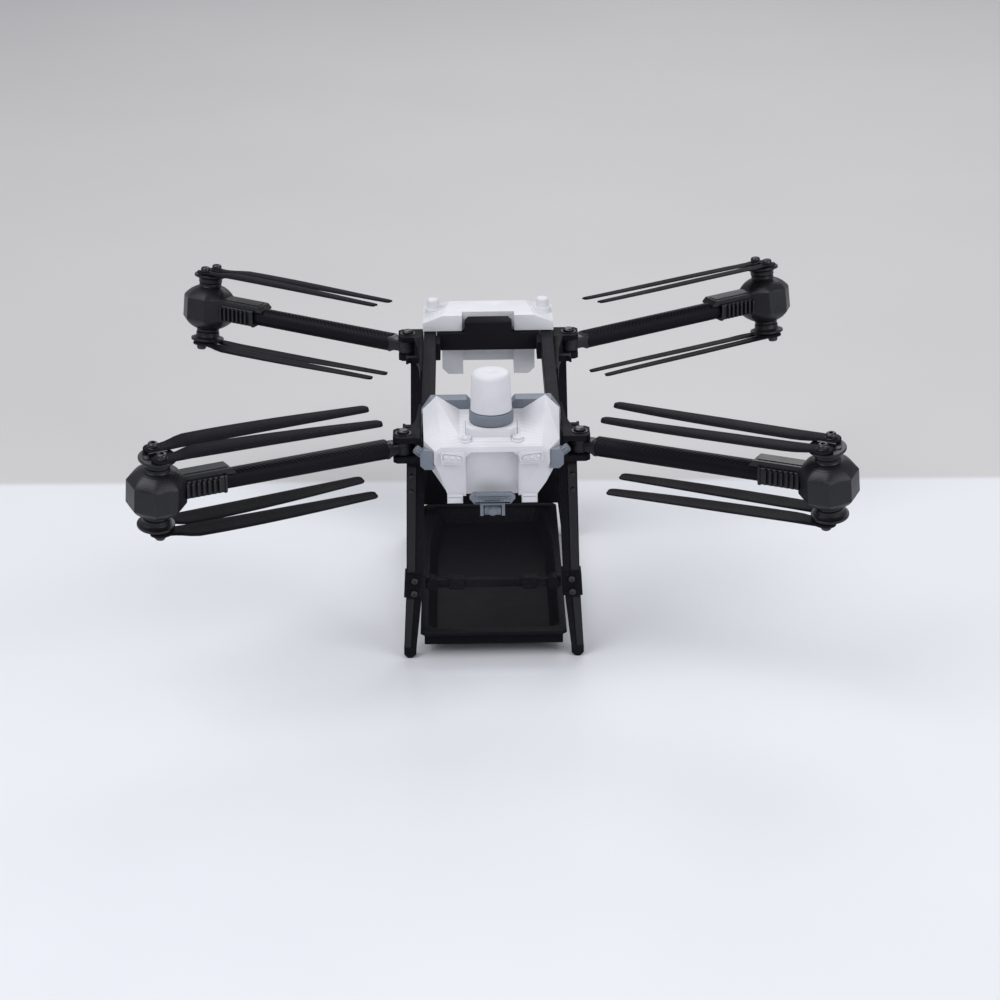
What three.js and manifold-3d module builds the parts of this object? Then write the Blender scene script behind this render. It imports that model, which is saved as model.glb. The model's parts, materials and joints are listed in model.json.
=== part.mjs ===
// Desktop scale model of a folding coaxial eight-rotor cargo drone.
// Millimetres, +Z up. The nose faces -Y and the drone's own left side is +X.
// The origin lies on the ground, under the middle of the four motor pods.

import * as THREE from 'three';
import { mergeVertices } from 'three/addons/utils/BufferGeometryUtils.js';
import Module from 'manifold-3d';

const wasm = await Module();
wasm.setup();

// ---------- clearances ----------
const fitGap = 0.3; // between two pieces that touch
const turnGap = 0.35; // round a pin or a screw that something turns on
const sunk = 0.6; // how far one lump of a single piece runs into the next
const weld = 1e-4; // distance under which two vertices are one
const past = 2; // how far a cutting shape runs beyond what it cuts

// ---------- airframe ----------
const railHalfSpan = 23.4; // middle plane to the outer face of a rail
const railWidth = 4.4;
const railHeight = 6.5;
const railTop = 84;
const railFront = -48;
const railRear = 60;
const railStep = 3.4; // how far the rail steps in where the nose covers it
const railNib = 3.6; // width of the stepped end
const padDepth = 1.6; // stiffening pads on the inner faces of the rails
const padLength = 9;
const crossmemberDepth = 4;
const crossmemberFront = 42.7;
const tabHalfWidth = 8.6; // raised middle of the rear crossmember
const tabHeight = 5.2;
const tabFall = 1.2; // its top slopes down to the front by this much
const tabCorner = 1.4;

// ---------- arms ----------
const pinX = railHalfSpan + 6; // hinge pin, from the middle plane
const frontPinY = -53;
const rearPinY = 49;
const armHeight = 77.6;
const armLength = 88; // hinge pin to motor axis
const frontSweep = 27; // degrees the open front arm points forward of square
const rearSweep = 30; // degrees the open rear arm points backward of square
const armRise = 0.8; // degrees the arm climbs towards the motor
const tubeRadius = 3.4;
const tubeSides = 12;
const tubeStart = 6.7; // hinge pin to the tube's inner end
const knuckleRadius = 3.6;
const knuckleHeight = 4.6;
const neckWidth = 5.6;
const neckHeight = 4.2;

// ---------- hinge bracket ----------
const pinRadius = 1.2;
const pinHeadRadius = 1.95;
const pinHeadHeight = 1.1;
const pinHeadBevel = 0.5;
const clevisPlate = 1.9;
const clevisReach = 3.4; // beyond the pin, away from the rail
const clevisHalfLength = 4.8; // along the rail, either side of the pin
const clevisCorner = 1.4;
const webThickness = 1.7;
const gussetLength = 34; // from the pin towards the middle of the rail
const gussetThickness = 3.4;
const lugOffset = 16; // from the pin to the lug that a folded arm stops near
const lugReach = railHalfSpan + 6.5; // from the middle plane
const lugWidth = 2.2;
const lugHeight = 2.2;
const lugHead = 4;
const lugHeadDepth = 0.9;

// ---------- speed controller sleeve on the arm ----------
const sleeveLength = 13.6;
const sleeveHalfWidth = 4.7;
const sleeveHeight = 6.4;
const finCount = 7;
const finWidth = 1;
const finDepth = 0.8;
const finMargin = 1;
const plateHalfWidth = 3.6;
const plateHeight = 1.5;
const plateOverhang = 3.4;

// ---------- motor pod ----------
const podSides = 8;
const podHalfWidth = 9.1; // centre to a flat
const podBandHalf = 4; // half height of the upright band
const podHalfHeight = 8;
const podShoulderRadius = 5;
const podNeckRadius = 4.1;
const podNeckEnd = 9.2; // from the pod's middle
const podTilt = 9; // degrees the rotor axis leans about the arm

// ---------- rotors ----------
const hubSides = 14;
const hubBellRadius = 4.4;
const hubWaist = 10.6; // heights are from the pod's middle, along the rotor axis
const hubFlare = 11.8;
const hubTop = 12.8;
const hubRadius = 6.2;
const bladePivot = 3.75; // from the rotor axis
const bladeLength = 76.5; // pivot to tip
const bladeThickness = 1;
const bladeEye = 3.3; // radius of the blade's round root
const bladeEyeSteps = 7;
const bladeSplay = 1.2; // degrees each folded blade opens away from its partner
const bladeBack = 2.5; // straight edge, from the pivot line
const bladeBelly = 5.1; // widest point, from the pivot line
const bladeBellyAt = 22; // along the blade
const bladeBow = 0.4; // how far its long edge stands off a straight taper
const bladeTipBelly = 2.2; // the belly edge at the tip
const bladeTipCorner = 1.3;
const screwRadius = 0.9;
const screwSides = 8;
const screwHeadRadius = 1.8;
const screwHeadHeight = 1.5;
const screwDome = 0.5;

// ---------- nose ----------
const noseFront = -65.6;
const noseBack = -44;
const noseHalfWidth = railHalfSpan - 0.5;
const noseDeckBack = 87;
const noseDeckFront = 81.6;
const noseShoulder = 87.2; // outer edge of the shoulders
const nosePeak = 91.9;
const nosePeakAt = noseHalfWidth - 4.7;
const noseDeckHalf = 10.6;
const noseSideBottom = 75.6;
const noseBottom = 63;
const noseBottomHalf = noseHalfWidth - 8.2;
const noseCheekY = -60; // the sides keep their width up to here, then turn in to the face
const noseCheekHalf = noseHalfWidth - 0.4;
const noseFaceHalf = noseHalfWidth - 4.3; // the flat front face is narrower than the sides
const noseFaceShoulder = 80.2;
const noseFaceCorner = noseFaceHalf - 2;
const noseChinBack = 3.4; // how far the chin falls back at the bottom
const noseChinTop = 79.6; // where it starts to fall back
const noseBrowLean = 0.9; // how far the face falls back above the chin
const noseWall = 1.7;
const noseOpening = 0.5; // how far the hollow is drawn back to open it at the rear
const noseRecessHalf = 8.7;
const noseRecessTop = 79.8;
const noseRecessDepth = 2.2;
const noseRecessSlope = 1.8;
const lampHalfWidth = 4.1;
const lampX = noseFaceHalf - 5.8;
const lampZ = 78;
const lampHeight = 3.7;
const lampProud = 0.6;
const lampCorner = 0.9;
const bossX = 8.6;
const bossRadius = 1.7;
const bossHeight = 1;
const bossY = -61.5;
const chinBlockX = noseBottomHalf - 2.3;
const chinBlockHalf = 2.6;
const chinBlockHeight = 2.4;
const chinBlockDepth = 4;
const noseBackDepth = 5.4;
const noseBackTop = 90.2;
const noseBackInner = 5.2;
const noseBackFlat = 8.2;
const noseBackCorner = railHalfSpan - 3.2;
const noseBackSideTop = 85.4;
const noseBackBottom = 68;

// ---------- canister ----------
const canisterY = -52.4;
const canisterFoot = 86.2;
const canisterTop = 103.4;
const canisterTopRadius = 6.4;
const canisterFootRadius = 6.9;
const canisterEdge = 0.8;
const collarRadius = 7.4;
const collarHeight = 3.8;
const canisterSides = 24;
const padHalfWidth = 8.4;
const padHalfDepth = 8.2;
const padCorner = 2.2;

// ---------- chin sensors ----------
const sensorHalf = 7.6;
const sensorHeight = 3;
const sensorDepth = 2.6;
const sensorZ = 63.3;
const sensorChamfer = 1.2;
const gimbalZ = sensorZ - 4.5; // axis the camera tilts about
const gimbalHalf = 4.1;
const gimbalDepth = 3.4;
const gimbalPlate = 0.6;
const earWidth = 1.1;
const earDrop = 3.7;
const cameraRadius = 1.8;
const cameraDepth = 3.6;
const trunnionRadius = 0.6;
const lensRadius = 1.3;
const lensProud = 0.5;

// ---------- cheek pods ----------
const cheekOuter = noseHalfWidth + 0.8;
const cheekInner = noseHalfWidth - 8.3; // before it is cut to the nose's side
const cheekFront = -65;
const cheekBack = -60.2;
const cheekTop = 80.3;
const cheekBottom = 73.6;
const cheekCorner = 1.4;
const knobRadius = 1.45;
const knobLength = 3.6;
const knobTeeth = 8;
const knobTooth = 0.25;
const knobInset = 1.1; // its foot, in from the pod's outer face
const knobDrop = 2.3; // and down from its top
const knobTilt = 50; // degrees from upright, leaning outwards

// ---------- rear shell ----------
const rearFront = 44.4;
const rearBack = 64.4;
const rearHalfWidth = railHalfSpan + 0.4;
const rearTop = 90.2;
const rearTopFront = rearHalfWidth - 7.3; // half width of the flat roof at its front
const rearTopBack = rearHalfWidth - 10.3; // and at its back
const rearShoulder = 87.4; // where the outer faces turn into the sloping roof
const rearBackBevel = 3;
const rearRecessGap = 0.9; // the notch round the tab: at its sides
const rearRecessDepth = 2.2; // and behind it
const lobeOuter = railHalfSpan - railWidth - 2.1;
const lobeInner = lobeOuter - 7.6;
const lobeFront = 47.6;
const lobeBottom = 66.6;
const lobeChamfer = 2.2;
const lobeInset = 2; // from the back of the hood
const bridgeInset = 3;
const bridgeBottom = 71.2;
const stubX = rearHalfWidth - 3.8;
const stubY = 55.4;
const stubRadius = 2.3;
const stubTop = 93.2;
const stubBevel = 0.5;
const stubCollarRadius = 3.1;
const stubCollarTop = 89.8;

// ---------- landing gear ----------
const legTopX = railHalfSpan + 2;
const legKneeX = railHalfSpan + 3.3; // at the clamp
const legFootX = railHalfSpan + 5.6;
const legTopLean = 2.6; // how far the leg's top stands inward of the foot along Y
const frontFootY = -52.5;
const rearFootY = 51.5;
const legWidth = 6.2;
const legDepth = 4.8;
const shinWidth = 5.6;
const shinDepth = 4.4;
const footWidth = 4.2;
const footRound = 1.4;
const footTop = 3; // the shin stands on the foot at this height
const clampZ = 26.9;
const clampHeight = 8;
const clampWidth = 6.8;
const clampDepth = 6.2;
const clampBolt = 1.1;
const clampBoltSpan = 4.6;
const clampBoltHead = 0.9;
const crossbarSize = 2.8;
const crossbarBoss = 2.3;
const crossbarBossLength = 4.6;
const crossbarFlatX = 12.4;
const crossbarFlatHalf = 2.6;
const crossbarFlatSize = 4;

// ---------- cargo tray ----------
const trayRim = 9.8;
const trayBottom = 3.9;
const trayFloor = 1.1;
const trayWall = 1.3;
const wellFront = -51;
const wellRear = 55.6;
const wellHalfWidth = railHalfSpan - 0.9;
const wellRearHalf = wellHalfWidth - 2.9; // the well narrows towards its rear end
const wellBend = 22; // where it starts to narrow
const wellCorner = 2;
const wellDraft = 2.9; // how far its walls lean in towards the floor
const flangeThickness = 1.2;
const flangeReach = 3.4; // beyond the tub at its ends
const flangeCorner = 1.5;
const panelHalfWidth = legFootX - 1.5;
const panelThickness = 1.6;
const panelHeight = 26;

const V = (x, y) => new THREE.Vector2(x, y);
const radians = THREE.MathUtils.degToRad;

// ---------- geometry helpers ----------

// A closed geometry as a solid: shared vertices merged, no empty triangles, faces pointing out.
function solid(geometry) {
  const bare = geometry.clone();
  bare.deleteAttribute('normal');
  bare.deleteAttribute('uv');
  const merged = mergeVertices(bare, weld);
  const position = merged.attributes.position;
  const corners = [0, 1, 2].map(() => new THREE.Vector3());
  const triangles = [];
  let volume = 0;
  for (let t = 0; t < merged.index.count; t += 3) {
    const [a, b, c] = [0, 1, 2].map((k) => merged.index.getX(t + k));
    if (a !== b && b !== c && c !== a) {
      triangles.push(a, b, c);
      [a, b, c].forEach((v, k) => corners[k].fromBufferAttribute(position, v));
      volume += corners[0].dot(corners[1].clone().cross(corners[2]));
    }
  }
  if (volume < 0) {
    triangles.reverse();
  }
  const mesh = new wasm.Mesh({
    numProp: 3,
    vertProperties: Float32Array.from(position.array),
    triVerts: Uint32Array.from(triangles),
  });
  return new wasm.Manifold(mesh);
}

function union(...pieces) {
  return pieces.reduce((whole, piece) => whole.add(piece));
}

function cut(body, ...tools) {
  return tools.reduce((rest, tool) => rest.subtract(tool), body);
}

// A solid moved by a three.js matrix.
function moved(body, matrix) {
  return body.transform(matrix.elements);
}

const shift = (x, y, z) => new THREE.Matrix4().makeTranslation(x, y, z);
const turnX = (angle) => new THREE.Matrix4().makeRotationX(angle);
const turnY = (angle) => new THREE.Matrix4().makeRotationY(angle);
const turnZ = (angle) => new THREE.Matrix4().makeRotationZ(angle);

function box(x0, x1, y0, y1, z0, z1) {
  const geometry = new THREE.BoxGeometry(x1 - x0, y1 - y0, z1 - z0);
  geometry.translate((x0 + x1) / 2, (y0 + y1) / 2, (z0 + z1) / 2);
  return solid(geometry);
}

function extruded(outline, depth, basis) {
  const shape = new THREE.Shape(outline);
  const geometry = new THREE.ExtrudeGeometry(shape, { depth, bevelEnabled: false });
  geometry.applyMatrix4(basis);
  return solid(geometry);
}

// Prisms: an outline in (x, y), (x, z) or (y, z), drawn out along the third axis.
function prismZ(outline, z0, z1) {
  return extruded(outline, z1 - z0, shift(0, 0, z0));
}

function prismY(outline, y0, y1) {
  return extruded(outline, y1 - y0, shift(0, y1, 0).multiply(turnX(Math.PI / 2)));
}

function prismX(outline, x0, x1) {
  const basis = new THREE.Matrix4().makeBasis(
    new THREE.Vector3(0, 1, 0),
    new THREE.Vector3(0, 0, 1),
    new THREE.Vector3(1, 0, 0),
  );
  return extruded(outline, x1 - x0, shift(x0, 0, 0).multiply(basis));
}

// A profile of (radius, height) points turned about the Z axis.
function turned(profile, sides, start = 0) {
  const geometry = new THREE.LatheGeometry(profile, sides, start);
  geometry.rotateX(Math.PI / 2);
  return solid(geometry);
}

function rod(radius, z0, z1, sides) {
  return turned([V(0, z0), V(radius, z0), V(radius, z1), V(0, z1)], sides);
}

function rodX(radius, x0, x1, y, z, sides) {
  const along = shift(0, y, z).multiply(turnY(Math.PI / 2));
  return moved(rod(radius, x0, x1, sides), along);
}

function rodY(radius, y0, y1, x, z, sides) {
  const along = shift(x, 0, z).multiply(turnX(-Math.PI / 2));
  return moved(rod(radius, y0, y1, sides), along);
}

// A straight strut between two level rectangles, each given by its centre and half sizes.
function strut(low, high) {
  const geometry = new THREE.BoxGeometry(2, 2, 2);
  const position = geometry.attributes.position;
  for (let i = 0; i < position.count; i += 1) {
    const end = position.getZ(i) < 0 ? low : high;
    position.setXYZ(
      i,
      end.x + position.getX(i) * end.halfWidth,
      end.y + position.getY(i) * end.halfDepth,
      end.z,
    );
  }
  return solid(geometry);
}

// A body between two outlines in (x, z) with as many points each, one at y0 and one at y1.
function loftY(near, y0, far, y1) {
  const count = near.length;
  const vertices = [];
  near.forEach((p) => vertices.push(p.x, y0, p.y));
  far.forEach((p) => vertices.push(p.x, y1, p.y));
  const index = [];
  for (const [a, b, c] of THREE.ShapeUtils.triangulateShape(near, [])) {
    index.push(a, b, c);
  }
  for (const [a, b, c] of THREE.ShapeUtils.triangulateShape(far, [])) {
    index.push(count + c, count + b, count + a);
  }
  for (let i = 0; i < count; i += 1) {
    const next = (i + 1) % count;
    index.push(i, count + i, count + next, i, count + next, next);
  }
  const geometry = new THREE.BufferGeometry();
  geometry.setAttribute('position', new THREE.Float32BufferAttribute(vertices, 3));
  geometry.setIndex(index);
  return solid(geometry);
}

// The same between two outlines in (x, y), one at z0 and one at z1.
function loftZ(low, z0, high, z1) {
  const turnedOver = (outline) => outline.map((p) => V(p.x, -p.y)).reverse();
  return moved(loftY(turnedOver(low), z0, turnedOver(high), z1), turnX(Math.PI / 2));
}

// A rectangle with cut corners.
function chamfered(x0, x1, y0, y1, corner) {
  return [
    V(x0 + corner, y0), V(x1 - corner, y0), V(x1, y0 + corner), V(x1, y1 - corner),
    V(x1 - corner, y1), V(x0 + corner, y1), V(x0, y1 - corner), V(x0, y0 + corner),
  ];
}

// A rectangle with round corners.
function rounded(x0, x1, y0, y1, radius, steps) {
  const centres = [
    [x1 - radius, y0 + radius, -Math.PI / 2],
    [x1 - radius, y1 - radius, 0],
    [x0 + radius, y1 - radius, Math.PI / 2],
    [x0 + radius, y0 + radius, Math.PI],
  ];
  const points = [];
  for (const [x, y, from] of centres) {
    for (let i = 0; i <= steps; i += 1) {
      const angle = from + (i / steps) * (Math.PI / 2);
      points.push(V(x + radius * Math.cos(angle), y + radius * Math.sin(angle)));
    }
  }
  return points;
}

// The same outline on the other side of the middle plane, and both joined into one.
function mirrored(outline) {
  return outline.map((p) => V(-p.x, p.y)).reverse();
}

function symmetric(half) {
  return [...half, ...mirrored(half)];
}

// ---------- materials ----------
const black = { color: 0x1b1c1f, roughness: 0.5, metalness: 0 };
const grey = { color: 0x6f7983, roughness: 0.6, metalness: 0 };
const white = { color: 0xe6e7ea, roughness: 0.55, metalness: 0 };
const steel = { color: 0x121214, roughness: 0.35, metalness: 0.8 };

const drone = new THREE.Group();

function place(parent, name, body, look) {
  const shape = body.getMesh();
  const geometry = new THREE.BufferGeometry();
  geometry.setAttribute('position', new THREE.BufferAttribute(shape.vertProperties, 3));
  geometry.setIndex(new THREE.BufferAttribute(shape.triVerts, 1));
  const mesh = new THREE.Mesh(geometry, new THREE.MeshStandardMaterial(look));
  mesh.name = name;
  parent.add(mesh);
}

const SIDES = [
  { name: 'left', side: 1 },
  { name: 'right', side: -1 },
];
const ENDS = [
  { name: 'front', end: -1, pinY: frontPinY, sweep: frontSweep, footY: frontFootY },
  { name: 'rear', end: 1, pinY: rearPinY, sweep: rearSweep, footY: rearFootY },
];

// A solid made for the left side, or its mirror image for the right.
function onSide(body, side) {
  return side > 0 ? body : body.mirror([1, 0, 0]);
}

// ---------- arm bracket ----------
const clevisHalf = knuckleHeight / 2 + fitGap;
const clevisTop = armHeight + clevisHalf + clevisPlate;
const clevisBottom = armHeight - clevisHalf - clevisPlate;
const webInner = railHalfSpan + fitGap;
const webOuter = webInner + webThickness;

// Made for a left front hinge; `end` turns it round for a rear one.
function armBracket(pinY, end) {
  const along = (distance) => pinY - end * distance; // towards the middle of the rail
  const span = (a, b) => [Math.min(along(a), along(b)), Math.max(along(a), along(b))];
  const block = chamfered(
    webInner, pinX + clevisReach, ...span(-clevisHalfLength, clevisHalfLength), clevisCorner,
  );
  const lower = prismZ(block, clevisBottom, clevisBottom + clevisPlate);
  const upper = prismZ(block, clevisTop - clevisPlate, clevisTop);
  const web = box(webInner, webOuter, ...span(-clevisHalfLength, clevisHalfLength + sunk),
    clevisBottom, clevisTop);
  const gusset = prismZ(
    [
      V(webInner, along(clevisHalfLength)),
      V(webInner + gussetThickness, along(clevisHalfLength)),
      V(webInner + webThickness, along(lugOffset)),
      V(webInner + webThickness / 2, along(gussetLength)),
      V(webInner, along(gussetLength)),
    ],
    clevisBottom, clevisTop,
  );
  const taper = [
    V(along(clevisHalfLength), clevisBottom),
    V(along(clevisHalfLength), clevisTop),
    V(along(gussetLength), armHeight + lugHeight),
    V(along(gussetLength), armHeight - lugHeight),
  ];
  const trimmed = gusset.intersect(prismX(taper, webInner - sunk, lugReach));
  const lug = box(webInner, lugReach, ...span(lugOffset - lugWidth / 2, lugOffset + lugWidth / 2),
    armHeight - lugHeight / 2, armHeight + lugHeight / 2);
  const head = box(lugReach - lugHeadDepth, lugReach,
    ...span(lugOffset - lugHead / 2, lugOffset + lugHead / 2),
    armHeight - lugHeight / 2, armHeight + lugHeight / 2);
  const hole = moved(
    rod(pinRadius + turnGap, clevisBottom - sunk, clevisTop + sunk, screwSides * 2),
    shift(pinX, pinY, 0),
  );
  return cut(union(lower, upper, web, trimmed, lug, head), hole);
}

function hingePin(pinY) {
  const headBase = clevisTop + fitGap;
  const profile = [
    V(0, clevisBottom),
    V(pinRadius, clevisBottom),
    V(pinRadius, headBase),
    V(pinHeadRadius, headBase),
    V(pinHeadRadius, headBase + pinHeadHeight - pinHeadBevel),
    V(pinHeadRadius - pinHeadBevel, headBase + pinHeadHeight),
    V(0, headBase + pinHeadHeight),
  ];
  return moved(turned(profile, screwSides), shift(pinX, pinY, 0));
}

// ---------- motor pod, rotors and blades, in the pod's frame: +Z is the rotor axis ----------
function podSolid(grow) {
  const corner = 1 / Math.cos(Math.PI / podSides);
  const band = (podHalfWidth + grow) * corner;
  const shoulder = (podShoulderRadius + grow) * corner;
  const top = podHalfHeight + grow;
  const profile = [
    V(0, -top), V(shoulder, -top), V(band, -podBandHalf - grow / 2),
    V(band, podBandHalf + grow / 2), V(shoulder, top), V(0, top),
  ];
  return turned(profile, podSides, Math.PI / podSides);
}

function motorPod() {
  return union(podSolid(0), rod(podNeckRadius, -podNeckEnd, podNeckEnd, hubSides));
}

const bladeFloor = hubTop + fitGap;
const screwHeadBase = bladeFloor + bladeThickness + fitGap;

function hub() {
  const profile = [
    V(0, podNeckEnd + fitGap), V(hubBellRadius, podNeckEnd + fitGap), V(hubBellRadius, hubWaist),
    V(hubRadius, hubFlare), V(hubRadius, hubTop), V(0, hubTop),
  ];
  const screw = turned(
    [
      V(0, hubTop - sunk), V(screwRadius, hubTop - sunk), V(screwRadius, screwHeadBase),
      V(screwHeadRadius, screwHeadBase),
      V(screwHeadRadius, screwHeadBase + screwHeadHeight - screwDome),
      V(screwHeadRadius - screwDome, screwHeadBase + screwHeadHeight),
      V(0, screwHeadBase + screwHeadHeight),
    ],
    screwSides,
  );
  return union(
    turned(profile, hubSides),
    moved(screw, shift(0, bladePivot, 0)),
    moved(screw, shift(0, -bladePivot, 0)),
  );
}

// A blade lies along +X from its pivot, with its full belly on the +Y side.
function blade() {
  const outline = [];
  for (let i = 0; i <= bladeEyeSteps; i += 1) {
    const angle = Math.PI / 2 + (i / bladeEyeSteps) * Math.PI;
    outline.push(V(bladeEye * Math.cos(angle), bladeEye * Math.sin(angle)));
  }
  outline.push(
    V(bladeEye * 2, -bladeBack),
    V(bladeLength - bladeTipCorner, -bladeBack),
    V(bladeLength, -bladeBack + bladeTipCorner),
    V(bladeLength, bladeTipBelly - bladeTipCorner),
    V(bladeLength - bladeTipCorner, bladeTipBelly),
    V((bladeLength + bladeBellyAt) / 2, (bladeBelly + bladeTipBelly) / 2 + bladeBow),
    V(bladeBellyAt, bladeBelly),
    V(bladeBellyAt / 2, (bladeBelly + bladeEye) / 2 + bladeBow),
  );
  const plate = prismZ(outline, bladeFloor, bladeFloor + bladeThickness);
  const eye = rod(screwRadius + turnGap, bladeFloor - sunk, screwHeadBase, screwSides);
  return cut(plate, eye);
}

// ---------- arm, in the arm's frame: the pin is the Z axis and +X runs out to the motor ----------
function armSolid(tilt) {
  const knuckle = rod(knuckleRadius, -knuckleHeight / 2, knuckleHeight / 2, tubeSides * 2);
  const neck = box(0, tubeStart + sunk, -neckWidth / 2, neckWidth / 2,
    -neckHeight / 2, neckHeight / 2);
  const end = armLength - podHalfWidth / 2; // inside the pod, and cut back to its skin
  const tube = rodX(tubeRadius, tubeStart, end, 0, 0, tubeSides);
  const inner = armLength - podHalfWidth - sleeveLength;
  const sleeve = prismX(
    chamfered(-sleeveHalfWidth, sleeveHalfWidth, -sleeveHeight / 2, sleeveHeight / 2, finDepth),
    inner, end,
  );
  const plate = prismY(
    [
      V(inner - plateOverhang, 0), V(end, 0), V(end, sleeveHeight / 2 + plateHeight),
      V(inner - plateOverhang + plateHeight, sleeveHeight / 2 + plateHeight),
      V(inner - plateOverhang, sleeveHeight / 2),
    ],
    -plateHalfWidth, plateHalfWidth,
  );
  const pitch = (sleeveLength - 2 * finMargin) / finCount;
  const fins = [];
  for (let i = 0; i < finCount; i += 1) {
    const from = inner + finMargin + i * pitch;
    fins.push(box(from, from + finWidth, -sleeveHalfWidth - finDepth, sleeveHalfWidth + finDepth,
      -sleeveHeight / 2 + finDepth, sleeveHeight / 2 - finDepth));
  }
  const rise = turnY(-radians(armRise));
  const podPlace = shift(armLength, 0, 0).multiply(turnX(tilt));
  const beam = cut(union(tube, sleeve, plate, ...fins), moved(podSolid(fitGap), podPlace));
  const pinHole = rod(pinRadius + turnGap, -knuckleHeight, knuckleHeight, screwSides * 2);
  return cut(union(knuckle, neck, moved(beam, rise)), pinHole);
}

function addRotor(parent, name) {
  place(parent, `hub_${name}`, hub(), black);
  for (const { mark, side } of [{ mark: 'a', side: 1 }, { mark: 'b', side: -1 }]) {
    const hinge = new THREE.Group();
    hinge.position.set(0, side * bladePivot, 0);
    hinge.rotation.z = Math.PI - side * radians(bladeSplay);
    place(hinge, `blade_${name}_${mark}`, blade(), black);
    parent.add(hinge);
  }
}

function addArm({ side, end, pinY, sweep }, corner) {
  const tilt = -side * end * radians(podTilt);
  const arm = new THREE.Group();
  arm.position.set(side * pinX, pinY, armHeight);
  arm.rotation.z = Math.atan2(end * Math.sin(radians(sweep)), side * Math.cos(radians(sweep)));
  place(arm, `arm_${corner}`, armSolid(tilt), black);

  const rise = new THREE.Group();
  rise.rotation.y = -radians(armRise);
  const pod = new THREE.Group();
  pod.position.x = armLength;
  pod.rotation.x = tilt;
  place(pod, `motor_pod_${corner}`, motorPod(), black);

  const upper = new THREE.Group();
  addRotor(upper, `${corner}_upper`);
  const lower = new THREE.Group();
  lower.rotation.x = Math.PI;
  addRotor(lower, `${corner}_lower`);
  pod.add(upper, lower);
  rise.add(pod);
  arm.add(rise);
  drone.add(arm);
}

// ---------- landing leg ----------
const legTop = clevisBottom - fitGap;

// Where a leg's centre line stands at a height: it kicks outwards below the clamp.
function legLine(footY, end, z) {
  const { lerp } = THREE.MathUtils;
  return {
    x: z < clampZ ? lerp(legFootX, legKneeX, z / clampZ)
      : lerp(legKneeX, legTopX, (z - clampZ) / (legTop - clampZ)),
    y: footY - end * legTopLean * (z / legTop),
    z,
  };
}

function leg(footY, end) {
  const section = (z, width, depth) => (
    { ...legLine(footY, end, z), halfWidth: width / 2, halfDepth: depth / 2 }
  );
  const thigh = strut(section(clampZ, shinWidth, legDepth), section(legTop, legWidth, legDepth));
  const shin = strut(section(footTop, footWidth, shinDepth), section(clampZ, shinWidth, shinDepth));
  const clamp = strut(
    section(clampZ - clampHeight / 2, clampWidth, clampDepth),
    section(clampZ + clampHeight / 2, clampWidth, clampDepth),
  );
  const { x, y } = legLine(footY, end, clampZ);
  const boltHalf = clampDepth / 2 + clampBoltHead;
  const bolts = [-1, 1].map((level) => rodY(
    clampBolt, y - boltHalf, y + boltHalf, x, clampZ + level * clampBoltSpan / 2, screwSides,
  ));
  const foot = section(footTop, footWidth, shinDepth);
  const [inner, outer] = [foot.x - foot.halfWidth, foot.x + foot.halfWidth];
  const toe = prismY(
    [
      V(inner, footTop + sunk), V(inner, footRound), V(inner + footRound, 0),
      V(outer - footRound, 0), V(outer, footRound), V(outer, footTop + sunk),
    ],
    foot.y - foot.halfDepth, foot.y + foot.halfDepth,
  );
  return union(thigh, shin, clamp, ...bolts, toe);
}

for (const { name: endName, ...endPart } of ENDS) {
  for (const { name: sideName, side } of SIDES) {
    const corner = `${endName}_${sideName}`;
    addArm({ ...endPart, side }, corner);
    const bracket = armBracket(endPart.pinY, endPart.end);
    place(drone, `arm_bracket_${corner}`, onSide(bracket, side), black);
    place(drone, `hinge_pin_${corner}`, onSide(hingePin(endPart.pinY), side), steel);
    place(drone, `leg_${corner}`, onSide(leg(endPart.footY, endPart.end), side), black);
  }
}

// ---------- side rails and rear crossmember ----------
const railInner = railHalfSpan - railWidth;
const railBottom = railTop - railHeight;
const nibOuter = railHalfSpan - railStep;
const nibInner = nibOuter - railNib;
const noseBackFront = noseBack + fitGap;
const noseBackRear = noseBackFront + noseBackDepth;

function sideRail() {
  const main = box(railInner, railHalfSpan, noseBackRear + fitGap, railRear, railBottom, railTop);
  const nib = box(nibInner, nibOuter, railFront, noseBackRear + fitGap + sunk, railBottom, railTop);
  const pad = box(railInner - padDepth, railInner + sunk, crossmemberFront - fitGap - padLength,
    crossmemberFront - fitGap, railBottom - sunk, railTop - sunk);
  return union(main, nib, pad);
}

function rearCrossmember() {
  const half = railInner - fitGap;
  const bar = box(-half, half, crossmemberFront, crossmemberFront + crossmemberDepth,
    railBottom, railTop);
  const crossmemberBack = crossmemberFront + crossmemberDepth;
  const tab = prismY(
    symmetric([
      V(tabHalfWidth, railTop - sunk), V(tabHalfWidth, railTop + tabHeight - tabCorner),
      V(tabHalfWidth - tabCorner, railTop + tabHeight),
    ]),
    crossmemberFront, crossmemberBack,
  );
  const slope = prismX(
    [
      V(crossmemberFront, railTop + tabHeight - tabFall), V(crossmemberBack, railTop + tabHeight),
      V(crossmemberBack, railTop + tabHeight + past), V(crossmemberFront, railTop + tabHeight + past),
    ],
    -tabHalfWidth - past, tabHalfWidth + past,
  );
  return cut(union(bar, tab), slope);
}

// ---------- nose ----------
const deckSlope = (noseDeckBack - noseDeckFront) / (noseBack - noseFront);
const deckAt = (y) => noseDeckFront + (y - noseFront) * deckSlope;

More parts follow.
